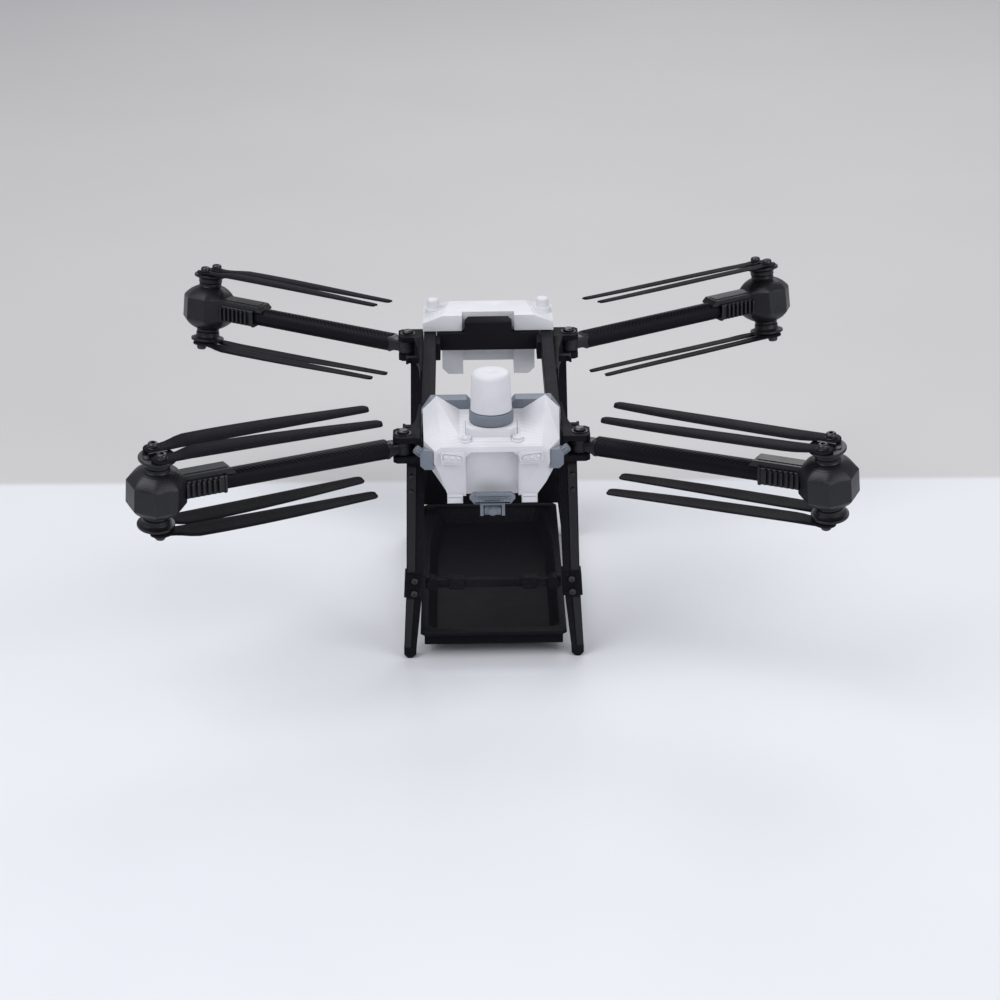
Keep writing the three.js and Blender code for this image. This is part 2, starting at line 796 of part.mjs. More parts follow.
// The outside of the nose before its chin is cut back, `inset` in from its skin.
function noseBlock(inset) {
  const rear = symmetric([
    V(noseBottomHalf - inset, noseBottom + inset),
    V(noseHalfWidth - inset, noseSideBottom + inset / 2),
    V(noseHalfWidth - inset, noseShoulder - inset / 2),
    V(nosePeakAt, nosePeak - inset),
    V(noseDeckHalf, noseDeckBack - inset),
  ]);
  const face = symmetric([
    V(noseBottomHalf - inset, noseBottom + inset),
    V(noseFaceHalf - inset, noseSideBottom + inset / 2),
    V(noseFaceHalf - inset, noseFaceShoulder - inset / 2),
    V(noseFaceCorner - inset, noseDeckFront - inset),
    V(noseDeckHalf, noseDeckFront - inset),
  ]);
  const share = (noseCheekY - noseFront) / (noseBack - noseFront);
  const cheek = face.map((p, i) => {
    const point = p.clone().lerp(rear[i], share);
    const isSide = Math.abs(p.x) === noseFaceHalf - inset;
    return isSide ? V(Math.sign(p.x) * (noseCheekHalf - inset), point.y) : point;
  });
  return union(
    loftY(face, noseFront + inset, cheek, noseCheekY),
    loftY(cheek, noseCheekY, rear, noseBack),
  );
}

function noseBody(inset) {
  const front = noseFront + inset;
  const chin = prismX(
    [
      V(front - past, noseBottom - past), V(front + noseChinBack, noseBottom - past),
      V(front + noseChinBack, noseBottom), V(front, noseChinTop - inset),
      V(front + noseBrowLean, nosePeak + past), V(front - past, nosePeak + past),
    ],
    -noseHalfWidth - past, noseHalfWidth + past,
  );
  return cut(noseBlock(inset), chin);
}

function noseShell() {
  const recess = prismY(
    symmetric([
      V(noseRecessHalf, noseBottom - past), V(noseRecessHalf, noseRecessTop - noseRecessSlope),
      V(noseRecessHalf - noseRecessSlope, noseRecessTop),
    ]),
    noseFront - past, noseFront + noseRecessDepth,
  );
  const slantedRecess = moved(
    recess,
    shift(0, noseFront, noseRecessTop)
      .multiply(turnX(Math.atan2(noseChinBack, noseDeckFront - noseBottom)))
      .multiply(shift(0, -noseFront, -noseRecessTop)),
  );
  const pad = prismZ(
    chamfered(-padHalfWidth, padHalfWidth, canisterY - padHalfDepth, canisterY + padHalfDepth,
      padCorner),
    deckAt(canisterY - padHalfDepth) - sunk, canisterFoot - fitGap,
  );
  const bossPlace = shift(0, 0, deckAt(bossY));
  const details = [];
  for (const side of [-1, 1]) {
    details.push(moved(
      rod(bossRadius, -sunk, bossHeight, screwSides * 2),
      bossPlace.clone().multiply(shift(side * bossX, bossY, 0)),
    ));
    details.push(prismY(
      chamfered(side * lampX - lampHalfWidth, side * lampX + lampHalfWidth,
        lampZ - lampHeight / 2, lampZ + lampHeight / 2, lampCorner),
      noseFront - lampProud, noseFront + noseRecessDepth,
    ));
    details.push(box(
      side * chinBlockX - chinBlockHalf, side * chinBlockX + chinBlockHalf,
      noseFront + noseChinBack - sunk, noseFront + noseChinBack + chinBlockDepth,
      noseBottom - chinBlockHeight, noseBottom + sunk,
    ));
  }
  const outside = cut(noseBody(0), slantedRecess);
  const hollow = cut(
    noseBody(noseWall),
    moved(slantedRecess, shift(0, noseWall + turnGap, 0)),
  );
  const opening = moved(hollow, shift(0, noseOpening, 0));
  const collarSeat = moved(
    rod(collarRadius + fitGap, canisterFoot - fitGap, nosePeak, canisterSides),
    shift(0, canisterY, 0),
  );
  return cut(union(outside, pad, ...details), opening, collarSeat);
}

function noseBackShell() {
  const outline = symmetric([
    V(noseBottomHalf, noseBackBottom), V(railHalfSpan, noseSideBottom),
    V(railHalfSpan, noseBackSideTop), V(noseBackCorner, noseBackTop),
    V(noseBackFlat, noseBackTop), V(noseBackInner, noseDeckBack),
  ]);
  const body = prismY(outline, noseBackFront, noseBackRear);
  const passages = [-1, 1].map((side) => onSide(
    box(nibInner - fitGap, nibOuter + fitGap,
      noseBackFront - past, noseBackRear + past, railBottom - fitGap, railTop + fitGap),
    side,
  ));
  return cut(body, ...passages);
}

function canister() {
  const base = canisterFoot + collarHeight + fitGap;
  return moved(
    turned(
      [
        V(0, base), V(canisterFootRadius, base), V(canisterTopRadius, canisterTop - canisterEdge),
        V(canisterTopRadius - canisterEdge, canisterTop), V(0, canisterTop),
      ],
      canisterSides,
    ),
    shift(0, canisterY, 0),
  );
}

function canisterCollar() {
  return moved(
    rod(collarRadius, canisterFoot, canisterFoot + collarHeight, canisterSides),
    shift(0, canisterY, 0),
  );
}

// ---------- chin sensors ----------
const chinRise = (noseChinTop - sensorZ - sensorHeight / 2) / (noseChinTop - noseBottom);
const sensorBack = noseFront + noseChinBack * chinRise - fitGap;
const sensorFront = sensorBack - sensorDepth;

function sensorBar() {
  return prismY(
    chamfered(-sensorHalf, sensorHalf, sensorZ - sensorHeight / 2, sensorZ + sensorHeight / 2,
      sensorChamfer),
    sensorFront, sensorBack,
  );
}

const gimbalTop = sensorZ - sensorHeight / 2 - fitGap;
const gimbalY = (sensorFront + sensorBack) / 2;

function gimbalBracket() {
  const plate = box(-gimbalHalf, gimbalHalf, gimbalY - gimbalDepth / 2, gimbalY + gimbalDepth / 2,
    gimbalTop - gimbalPlate, gimbalTop);
  const ears = [-1, 1].map((side) => onSide(
    box(gimbalHalf - earWidth, gimbalHalf, gimbalY - gimbalDepth / 2, gimbalY + gimbalDepth / 2,
      gimbalTop - gimbalPlate - earDrop, gimbalTop),
    side,
  ));
  const bore = rodX(
    trunnionRadius + turnGap, -gimbalHalf - past, gimbalHalf + past, gimbalY, gimbalZ, screwSides,
  );
  return cut(union(plate, ...ears), bore);
}

function gimbalCamera() {
  const half = gimbalHalf - earWidth - fitGap;
  const body = rodX(cameraRadius, -half, half, gimbalY, gimbalZ, hubSides);
  const trunnion = rodX(trunnionRadius, -gimbalHalf, gimbalHalf, gimbalY, gimbalZ, screwSides);
  const front = gimbalY - cameraDepth / 2 - lensProud;
  const lens = rodY(lensRadius, front, gimbalY, 0, gimbalZ, hubSides);
  return union(body, trunnion, lens);
}

// ---------- cheek pods ----------
function cheekPod() {
  const block = prismY(
    chamfered(cheekInner, cheekOuter, cheekBottom, cheekTop, cheekCorner),
    cheekFront, cheekBack,
  );
  const grip = [];
  const core = rod(knobRadius - knobTooth, 0, knobLength, hubSides);
  for (let i = 0; i < knobTeeth; i += 1) {
    grip.push(moved(
      box(-knobTooth, knobTooth, 0, knobRadius, sunk, knobLength - knobTooth),
      turnZ((i / knobTeeth) * 2 * Math.PI),
    ));
  }
  const knobPlace = shift(cheekOuter - knobInset, (cheekFront + cheekBack) / 2, cheekTop - knobDrop)
    .multiply(turnY(radians(knobTilt)));
  const knob = moved(union(core, ...grip), knobPlace);
  return cut(union(block, knob), noseBlock(-fitGap));
}

// ---------- rear shell ----------
function rearShell() {
  const base = railTop + fitGap;
  const outline = (topHalf) => symmetric([
    V(rearHalfWidth, base), V(rearHalfWidth, rearShoulder), V(topHalf, rearTop),
  ]);
  const hood = loftY(outline(rearTopFront), rearFront, outline(rearTopBack), rearBack);
  const bevel = prismX(
    [
      V(rearBack - rearBackBevel, rearTop), V(rearBack, rearTop - rearBackBevel),
      V(rearBack + past, rearTop - rearBackBevel), V(rearBack + past, rearTop + past),
      V(rearBack - rearBackBevel, rearTop + past),
    ],
    -rearHalfWidth - past, rearHalfWidth + past,
  );
  const notchHalf = tabHalfWidth + rearRecessGap;
  const notch = box(-notchHalf, notchHalf, rearFront - past,
    crossmemberFront + crossmemberDepth + rearRecessDepth, base - past, rearTop + past);
  const lobes = [-1, 1].map((side) => onSide(
    prismY(
      [
        V(lobeInner, lobeBottom), V(lobeOuter - lobeChamfer, lobeBottom),
        V(lobeOuter, lobeBottom + lobeChamfer), V(lobeOuter, base + sunk), V(lobeInner, base + sunk),
      ],
      lobeFront, rearBack - lobeInset,
    ),
    side,
  ));
  const bridge = box(-lobeInner - sunk, lobeInner + sunk, lobeFront + lobeInset,
    rearBack - bridgeInset, bridgeBottom, base + sunk);
  const stubs = [-1, 1].map((side) => moved(
    turned(
      [
        V(0, base + sunk), V(stubCollarRadius, base + sunk), V(stubCollarRadius, stubCollarTop),
        V(stubRadius, stubCollarTop), V(stubRadius, stubTop - stubBevel),
        V(stubRadius - stubBevel, stubTop), V(0, stubTop),
      ],
      hubSides,
    ),
    shift(side * stubX, stubY, 0),
  ));
  return cut(union(hood, ...lobes, bridge, ...stubs), bevel, notch);
}

// ---------- crossbar, panel and tray ----------
function frontCrossbar() {
  const { x, y } = legLine(frontFootY, -1, clampZ);
  const half = x - clampWidth / 2 - fitGap;
  const bar = box(-half, half, y - crossbarSize / 2, y + crossbarSize / 2,
    clampZ - crossbarSize / 2, clampZ + crossbarSize / 2);
  const extras = [];
  for (const side of [-1, 1]) {
    extras.push(rodY(crossbarBoss, y - crossbarBossLength / 2, y + crossbarBossLength / 2,
      side * (half - crossbarBoss), clampZ, tubeSides));
    extras.push(box(side * crossbarFlatX - crossbarFlatHalf, side * crossbarFlatX + crossbarFlatHalf,
      y - crossbarFlatSize / 2, y + crossbarFlatSize / 2,
      clampZ - crossbarFlatSize / 2, clampZ + crossbarFlatSize / 2));
  }
  return union(bar, ...extras);
}

const flangeFront = wellFront - trayWall - flangeReach;
const flangeRear = wellRear + trayWall + flangeReach;
const trayHalfWidth = wellHalfWidth + trayWall;

function rearPanel() {
  return box(-panelHalfWidth, panelHalfWidth, flangeRear - panelThickness, flangeRear,
    trayRim + fitGap, trayRim + fitGap + panelHeight);
}

// The mouth of the tray's well, or its outline further in.
function wellOutline(inset) {
  const front = wellFront + inset;
  const half = wellHalfWidth - inset;
  const rearHalf = wellRearHalf - inset;
  return symmetric([
    V(half - wellCorner, front), V(half, front + wellCorner), V(half, wellBend),
    V(rearHalf, wellRear - inset - wellCorner), V(rearHalf - wellCorner, wellRear - inset),
  ]);
}

function cargoTray() {
  const tub = box(-trayHalfWidth, trayHalfWidth, wellFront - trayWall, wellRear + trayWall,
    trayBottom, trayRim);
  const well = loftZ(wellOutline(wellDraft), trayBottom + trayFloor, wellOutline(0), trayRim);
  const mouth = prismZ(wellOutline(0), trayRim - weld, trayRim + past);
  const legInner = Math.min(...ENDS.map(({ footY, end }) => legLine(footY, end, trayRim).x));
  const reach = legInner - shinWidth / 2 - fitGap;
  const flange = prismZ(
    rounded(-reach, reach, flangeFront, flangeRear, flangeCorner, 1),
    trayRim - flangeThickness, trayRim,
  );
  return cut(union(tub, flange), well, mouth);
}

for (const { name, side } of SIDES) {
  place(drone, `side_rail_${name}`, onSide(sideRail(), side), black);
  place(drone, `cheek_pod_${name}`, onSide(cheekPod(), side), grey);
}
place(drone, 'rear_crossmember', rearCrossmember(), black);
place(drone, 'nose_shell', noseShell(), white);
place(drone, 'nose_back_shell', noseBackShell(), grey);
place(drone, 'canister', canister(), white);
place(drone, 'canister_collar', canisterCollar(), grey);
place(drone, 'sensor_bar', sensorBar(), grey);
place(drone, 'gimbal_bracket', gimbalBracket(), grey);
place(drone, 'gimbal_camera', gimbalCamera(), grey);
place(drone, 'rear_shell', rearShell(), white);
place(drone, 'front_crossbar', frontCrossbar(), black);
place(drone, 'rear_panel', rearPanel(), black);
place(drone, 'cargo_tray', cargoTray(), black);

export default drone;
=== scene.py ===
import bmesh
import bpy
import json
import math
from mathutils import Matrix, Vector


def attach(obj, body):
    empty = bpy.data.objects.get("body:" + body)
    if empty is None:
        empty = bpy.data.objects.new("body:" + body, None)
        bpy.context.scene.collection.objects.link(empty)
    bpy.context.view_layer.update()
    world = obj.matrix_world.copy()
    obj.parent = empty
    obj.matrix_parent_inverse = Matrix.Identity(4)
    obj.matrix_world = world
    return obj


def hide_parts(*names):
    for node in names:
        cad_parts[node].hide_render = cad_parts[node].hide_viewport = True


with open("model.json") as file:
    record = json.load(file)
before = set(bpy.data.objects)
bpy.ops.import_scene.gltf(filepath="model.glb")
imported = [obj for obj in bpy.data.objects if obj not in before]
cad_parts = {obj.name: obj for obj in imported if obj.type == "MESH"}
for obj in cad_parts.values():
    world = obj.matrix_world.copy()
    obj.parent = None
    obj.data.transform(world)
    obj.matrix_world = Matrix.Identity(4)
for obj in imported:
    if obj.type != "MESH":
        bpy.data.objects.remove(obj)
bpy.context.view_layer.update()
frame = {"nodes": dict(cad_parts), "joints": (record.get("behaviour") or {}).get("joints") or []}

MM = 0.001
SIDES = {"left": 1, "right": -1}
ENDS = {"front": -1, "rear": 1}
CORNERS = [f"{end}_{side}" for end in ENDS for side in SIDES]
JOINTS = {joint["name"]: joint for joint in frame["joints"]}


# ---------- node helpers ----------
class Nodes:
    """Adds linked shader nodes to one material."""

    def __init__(self, material):
        material.use_nodes = True
        self.tree = material.node_tree
        self.shader = self.tree.nodes["Principled BSDF"]

    def add(self, kind, **inputs):
        node = self.tree.nodes.new(kind)
        for name, value in inputs.items():
            self.put(node, name.replace("_", " "), value)
        return node

    def put(self, node, name, value):
        socket = node.inputs[int(name) if name.isdigit() else name]
        if isinstance(value, bpy.types.NodeSocket):
            self.tree.links.new(value, socket)
        else:
            socket.default_value = value

    def math(self, operation, a, b=0.0, c=0.0):
        node = self.tree.nodes.new("ShaderNodeMath")
        node.operation = operation
        for index, value in enumerate((a, b, c)):
            self.put(node, str(index), value)
        return node.outputs[0]

    def ramp(self, value, low, high):
        node = self.tree.nodes.new("ShaderNodeMapRange")
        node.interpolation_type = "SMOOTHSTEP"
        self.put(node, "Value", value)
        self.put(node, "From Min", low)
        self.put(node, "From Max", high)
        return node.outputs["Result"]

    def mix(self, factor, a, b):
        node = self.tree.nodes.new("ShaderNodeMix")
        node.data_type = "RGBA"
        self.put(node, "0", factor)
        for index, value in ((6, a), (7, b)):
            self.put(node, str(index), value)
        return node.outputs[2]

    def noise(self, vector, scale, detail=2.0):
        node = self.add("ShaderNodeTexNoise", Scale=scale, Detail=detail)
        self.put(node, "Vector", vector)
        return node.outputs["Fac"]

    def bump(self, height, strength, distance, normal=None):
        node = self.add("ShaderNodeBump", Strength=strength, Distance=distance)
        self.put(node, "Height", height)
        if normal is not None:
            self.put(node, "Normal", normal)
        return node.outputs["Normal"]


def rgba(color, factor=1.0):
    return (color[0] * factor, color[1] * factor, color[2] * factor, 1.0)


LAYER = 0.5 * MM  # spacing of the printed lines
SPECK = 5200.0


def printed(name, color, rough, line_depth, gloss=0.42, speck=0.0, edge=0.25, chevrons=False,
            layer=LAYER):
    """Printed plastic: layer lines across the object's Z, mottling, specks and paler edges."""
    material = bpy.data.materials.new(name)
    n = Nodes(material)
    place = n.add("ShaderNodeTexCoord").outputs["Object"]
    split = n.add("ShaderNodeSeparateXYZ", Vector=place)
    x, y, z = split.outputs
    wobble = n.noise(place, 260.0, 3.0)
    phase = n.math("MULTIPLY_ADD", wobble, layer * 0.9, z)
    line = n.math("SINE", n.math("MULTIPLY", phase, 2 * math.pi / layer))
    uneven = n.noise(n.add("ShaderNodeCombineXYZ", Z=z).outputs[0], 900.0, 2.0)
    height = n.math("MULTIPLY_ADD", line, 0.35, n.math("MULTIPLY", uneven, 0.9))
    broad = n.noise(place, 95.0, 4.0)
    fine = n.noise(place, SPECK, 1.0)
    shade = n.mix(broad, rgba(color, 0.86), rgba(color, 1.12))
    shade = n.mix(n.math("MULTIPLY", n.ramp(line, -1.0, 1.0), 0.16), shade, rgba(color, 0.72))
    if chevrons:
        lean = n.math("MULTIPLY_ADD", n.math("ABSOLUTE", y), 1.1, x)
        weave = n.math("SINE", n.math("MULTIPLY", lean, 2 * math.pi / (1.55 * MM)))
        on_top = n.ramp(z, 1.5 * MM, 2.7 * MM)
        weave = n.math("MULTIPLY", n.ramp(weave, -0.5, 0.8), on_top)
        height = n.math("MULTIPLY_ADD", weave, 1.7, height)
        shade = n.mix(n.math("MULTIPLY", weave, 0.55), shade, rgba(color, 2.6))
    if speck:
        dots = n.math("MULTIPLY", n.ramp(fine, 0.70, 0.78), speck)
        shade = n.mix(dots, shade, (0.16, 0.16, 0.17, 1.0))
    # paler colour on sharp convex edges, taken from the mesh's pointiness and scaled by edge
    edge_pointiness = n.add("ShaderNodeNewGeometry").outputs["Pointiness"]
    shade = n.mix(n.math("MULTIPLY", n.ramp(edge_pointiness, 0.53, 0.60), edge), shade, rgba(color, 2.2))
    n.put(n.shader, "Base Color", shade)
    n.put(n.shader, "Roughness", n.math("MULTIPLY_ADD", broad, 0.22, rough - 0.11))
    n.put(n.shader, "Normal", n.bump(
        fine, 0.12, 0.1 * MM, n.bump(height, 0.5, line_depth)))
    n.put(n.shader, "Specular IOR Level", gloss)
    return material


def metal(name, color, rough):
    material = bpy.data.materials.new(name)
    n = Nodes(material)
    place = n.add("ShaderNodeTexCoord").outputs["Object"]
    scuff = n.noise(place, 1800.0, 4.0)
    n.put(n.shader, "Base Color", n.mix(scuff, rgba(color, 0.6), rgba(color, 1.5)))
    n.put(n.shader, "Metallic", 0.85)
    n.put(n.shader, "Roughness", n.math("MULTIPLY_ADD", scuff, 0.25, rough - 0.1))
    n.put(n.shader, "Normal", n.bump(scuff, 0.15, 0.05 * MM))
    return material


def glass(name, color):
    material = bpy.data.materials.new(name)
    n = Nodes(material)
    place = n.add("ShaderNodeTexCoord").outputs["Object"]
    haze = n.noise(place, 700.0, 3.0)
    n.put(n.shader, "Base Color", n.mix(haze, rgba(color, 0.8), rgba(color, 1.3)))
    n.put(n.shader, "Roughness", n.math("MULTIPLY_ADD", haze, 0.06, 0.04))
    n.put(n.shader, "Coat Weight", 0.8)
    return material


BLACK = (0.0085, 0.0085, 0.0110)
GREY = (0.150, 0.172, 0.208)
WHITE = (0.63, 0.63, 0.665)
black = printed("printed_black", BLACK, 0.36, 0.06 * MM, 0.3, speck=0.5)
black_flat = printed("printed_black_flat", BLACK, 0.42, 0.05 * MM, 0.02, speck=0.7)
black_arm = printed("printed_black_arm", BLACK, 0.36, 0.06 * MM, 0.05, speck=0.3, chevrons=True)
grey = printed("printed_grey", GREY, 0.5, 0.05 * MM, edge=0.12)
white = printed("printed_white", WHITE, 0.5, 0.055 * MM, edge=0.0)
screw_black = metal("oxide_black", (0.045, 0.044, 0.05), 0.32)
lens_glass = glass("lens_dark", (0.02, 0.024, 0.03))


# ---------- mesh helpers: lengths in millimetres, in the piece's own frame ----------
def finish_mesh(obj, material, smooth, bevel, segments):
    obj.data.materials.clear()
    obj.data.materials.append(material)
    if bevel:
        soft = obj.modifiers.new("bevel", "BEVEL")
        soft.width = bevel * MM
        soft.segments = segments
        soft.limit_method = "ANGLE"
        soft.angle_limit = math.radians(28)
        soft.harden_normals = True
    obj.data.shade_smooth()
    obj.data.set_sharp_from_angle(angle=math.radians(smooth))


def piece(name, shells, material, body, at=Matrix(), stands_for=(), smooth=34,
          bevel=0.0, segments=2):
    """One piece made of closed shells, each a (points, faces) pair."""
    points, faces = [], []
    for shell_points, shell_faces in shells:
        base = len(points)
        points += [Vector(p) * MM for p in shell_points]
        faces += [[base + i for i in face] for face in shell_faces]
    mesh = bpy.data.meshes.new(name)
    mesh.from_pydata(points, [], faces)
    shape = bmesh.new()
    shape.from_mesh(mesh)
    bmesh.ops.recalc_face_normals(shape, faces=shape.faces)
    shape.to_mesh(mesh)
    shape.free()
    obj = bpy.data.objects.new(name, mesh)
    bpy.context.scene.collection.objects.link(obj)
    obj.matrix_world = at
    finish_mesh(obj, material, smooth, bevel, segments)
    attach(obj, body)
    if stands_for:
        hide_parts(*stands_for)
    return obj


def skin(loops, close=False):
    """A surface through loops of as many points each, capped at both ends unless it closes on itself."""
    count = len(loops[0])
    points = [p for loop in loops for p in loop]
    rows = len(loops)
    faces = []
    for row in range(rows if close else rows - 1):
        a, b = row * count, (row + 1) % rows * count
        for i in range(count):
            j = (i + 1) % count
            faces.append((a + i, a + j, b + j, b + i))
    if not close:
        faces.append(tuple(reversed(range(count))))
        faces.append(tuple((rows - 1) * count + i for i in range(count)))
    return points, faces


def circle(radius, z, sides, centre=(0.0, 0.0), start=0.0):
    return [(centre[0] + radius * math.cos(start + 2 * math.pi * i / sides),
             centre[1] + radius * math.sin(start + 2 * math.pi * i / sides), z)
            for i in range(sides)]


def lathe(profile, sides=32, centre=(0.0, 0.0)):
    """A solid turned about Z from (radius, height) pairs that run upwards."""
    return skin([circle(max(radius, 0.01), z, sides, centre) for radius, z in profile])


AXES = {
    "x": lambda u, v, w: (w, u, v),
    "y": lambda u, v, w: (u, w, v),
    "z": lambda u, v, w: (u, v, w),
}


def prism(outline, low, high, axis="z"):
    """An outline in (y, z), (x, z) or (x, y), drawn out along the third axis."""
    return skin([[AXES[axis](u, v, w) for u, v in outline] for w in (low, high)])


def ring(outer, inner, low, high, axis="z"):
    """The band between two outlines of as many points each, drawn out along an axis."""
    loops = [[AXES[axis](u, v, w) for u, v in outline]
             for outline, w in ((outer, low), (outer, high), (inner, high), (inner, low))]
    return skin(loops, close=True)


def dome(radius, height, sides=20):
    return lathe([(radius, 0), (radius * 0.94, height * 0.4), (radius * 0.75, height * 0.75),
                  (radius * 0.42, height * 0.95), (0, height)], sides)


def facing_front(shell, x, y, z):
    """A shell whose Z axis is laid to point forwards, with its foot at a point."""
    return turned_shell(shell, Matrix.Translation((x, y, z)) @ Matrix.Rotation(math.pi / 2, 4, "X"))


def round_corners(corners, radius, steps=4):
    """An outline with its corners eased."""
    points = []
    for i, corner in enumerate(corners):
        here = Vector(corner)
        before = (Vector(corners[i - 1]) - here).normalized() * radius
        after = (Vector(corners[(i + 1) % len(corners)]) - here).normalized() * radius
        for k in range(steps + 1):
            share = k / steps
            p = here + before * (1 - share) ** 2 + after * share ** 2
            points.append((p.x, p.y))
    return points


def shrunk(outline, by):
    """An outline drawn in towards its middle."""
    middle = sum((Vector(p) for p in outline), Vector((0, 0))) / len(outline)
    return [tuple(Vector(p) + (middle - Vector(p)).normalized() * by) for p in outline]


def block(x0, x1, y0, y1, z0, z1):
    return prism([(x0, y0), (x1, y0), (x1, y1), (x0, y1)], z0, z1)


def turned_shell(shell, matrix):
    """A shell moved by a matrix whose translation is in millimetres."""
    return [tuple(matrix @ Vector(p)) for p in shell[0]], shell[1]


def mirror(shell):
    """The shell on the other side of the middle plane."""
    return [(-x, y, z) for x, y, z in shell[0]], [tuple(reversed(face)) for face in shell[1]]


def both(shells):
    return list(shells) + [mirror(shell) for shell in shells]


def on_side(shells, side):
    return list(shells) if side > 0 else [mirror(shell) for shell in shells]


def arc(radius, start, stop, steps, centre=(0.0, 0.0)):
    """Points on an arc, angles in degrees."""
    return [(centre[0] + radius * math.cos(math.radians(start + (stop - start) * i / steps)),
             centre[1] + radius * math.sin(math.radians(start + (stop - start) * i / steps)))
            for i in range(steps + 1)]


def round_rect(x0, x1, y0, y1, radius, steps=4):
    points = []
    for cx, cy, start in ((x1 - radius, y0 + radius, -90), (x1 - radius, y1 - radius, 0),
                          (x0 + radius, y1 - radius, 90), (x0 + radius, y0 + radius, 180)):
        points += arc(radius, start, start + 90, steps, (cx, cy))
    return points


def smoothstep(low, high, value):
    share = min(max((value - low) / (high - low), 0.0), 1.0)
    return share * share * (3 - 2 * share)


def lerp(a, b, share):
    return a + (b - a) * share


# ---------- CAD nodes that keep their shape ----------
def dress(node, material, bevel=0.35, smooth=32, segments=2, limit=28):
    """A CAD node with its edges eased and its own finish."""
    obj = frame["nodes"][node]
    obj.data.materials.clear()
    obj.data.materials.append(material)
    weld = obj.modifiers.new("weld", "WELD")
    weld.merge_threshold = 0.004 * MM
    flat = obj.modifiers.new("flat", "DECIMATE")
    flat.decimate_type = "DISSOLVE"
    flat.angle_limit = math.radians(0.8)
    if bevel:
        soft = obj.modifiers.new("bevel", "BEVEL")
        soft.width = bevel * MM
        soft.segments = segments
        soft.limit_method = "ANGLE"
        soft.angle_limit = math.radians(limit)
        soft.use_clamp_overlap = True
        soft.harden_normals = True
    obj.data.shade_smooth()
    obj.data.set_sharp_from_angle(angle=math.radians(smooth))
    return obj


# ---------- frames of the arms, pods and blades ----------
def upright(axis):
    axis = Vector(axis).normalized()
    return axis if axis.z > 0 else -axis


def basis(x, z, origin):
    y = z.cross(x).normalized()
    z = x.cross(y).normalized()
    matrix = Matrix((x, y, z)).transposed().to_4x4()
    matrix.translation = origin
    return matrix


def arm_frames(corner):
    """Frames at the hinge (level), along the beam, and at the pod (Z is the rotor axis)."""
    pin = Vector(JOINTS[f"arm_fold_{corner}"]["pos_m"])
    spin = JOINTS[f"rotor_spin_{corner}_upper"]
    centre = Vector(spin["pos_m"])
    along = (centre - pin).normalized()
    level = Vector((along.x, along.y, 0)).normalized()
    up = Vector((0, 0, 1))
    return (basis(level, up, pin), basis(along, up, pin), basis(along, upright(spin["axis"]), centre),
            (centre - pin).length / MM)


# ---------- screws ----------
def cap_screw(radius, height, sides=24):
    """A domed head with a hexagonal socket, standing on z = 0."""
    socket = radius * 0.46
    hexed = []
    for z in (height, height * 0.45):
        loop = []
        for i in range(sides):
            angle = 2 * math.pi * i / sides
            flat = math.cos(math.pi / 6) / math.cos((angle % (math.pi / 3)) - math.pi / 6)
            loop.append((socket * flat * math.cos(angle), socket * flat * math.sin(angle), z))
        hexed.append(loop)
    outside = [circle(radius * r, height * z, sides) for r, z in (
        (0.96, 0.0), (1.0, 0.06), (1.0, 0.42), (0.95, 0.66), (0.84, 0.86), (0.68, 0.97), (0.55, 1.0))]
    return skin(outside + hexed)


def placed(shell, x=0.0, y=0.0, z=0.0):
    return turned_shell(shell, Matrix.Translation((x, y, z)))


# ---------- rotors ----------
BLADE_LENGTH = 76.5
BLADE_FLOOR = 13.1  # from the pod's middle to the blade's underside
BLADE_EYE = 3.3  # radius of the eye round the screw
BLADE_FRONT, BLADE_BACK = 5.1, 2.5  # from the screw to the edges at the widest
BLADE_TIP = 1.6  # radius of the tip's corners
HUB_TOP = 12.8
PIVOT = 3.75  # from the rotor's axis to a blade's screw


def blade_shell():
    """A cambered blade along +X with a round root and a little washout."""
    stations = [-3.28, -3.2, -2.9, -2.3, -1.4, 0.0, 1.4, 2.8, 4.4, 6.5, 9, 12, 16, 20, 25, 31, 38,
                46, 54, 62, 68, 72, 74.4, 75.6, 76.2, 76.48]
    around = 12
    loops = []
    for x in stations:
        if x < 2.2:
            half = math.sqrt(max(BLADE_EYE ** 2 - x * x, 0.01))
            back, front = -half, half
        else:
            root = math.sqrt(BLADE_EYE ** 2 - 2.2 ** 2)
            back = -lerp(root, BLADE_BACK, smoothstep(2.2, 9, x))
            run = max(x - 22, 0) / (BLADE_LENGTH - 22)
            bulge = 0.5 * math.sin(math.pi * run)
            front = lerp(root, BLADE_FRONT, smoothstep(2.2, 12, x)) - 2.9 * run + bulge
            into_tip = max(x - BLADE_LENGTH + BLADE_TIP, 0)
            trim = BLADE_TIP - math.sqrt(max(BLADE_TIP ** 2 - into_tip ** 2, 0))
            back, front = back + trim, front - trim
        wing = smoothstep(3.5, 13, x)
        thick = lerp(1.0, 0.95, wing) * (1 - 0.25 * smoothstep(30, BLADE_LENGTH, x))
        twist = math.radians(lerp(0.0, 8.5, wing) * (1 - 0.6 * smoothstep(20, BLADE_LENGTH, x)))
        floor = BLADE_FLOOR + 0.02
        loop = []
        for i in range(around):
            angle = 2 * math.pi * i / around
            share = 0.5 - 0.5 * math.cos(angle)
            y = lerp(back, front, share)
            flat = abs(math.sin(angle)) ** lerp(0.35, 0.7, wing)
            bow = 0.35 * wing * math.sin(math.pi * share)
            z = thick / 2 + math.copysign(flat, math.sin(angle)) * thick / 2
            lean = (y - back) * math.tan(twist) * 0.5
            loop.append((x, y, floor + z + bow + lean))
        loops.append(loop)
    return skin(loops)


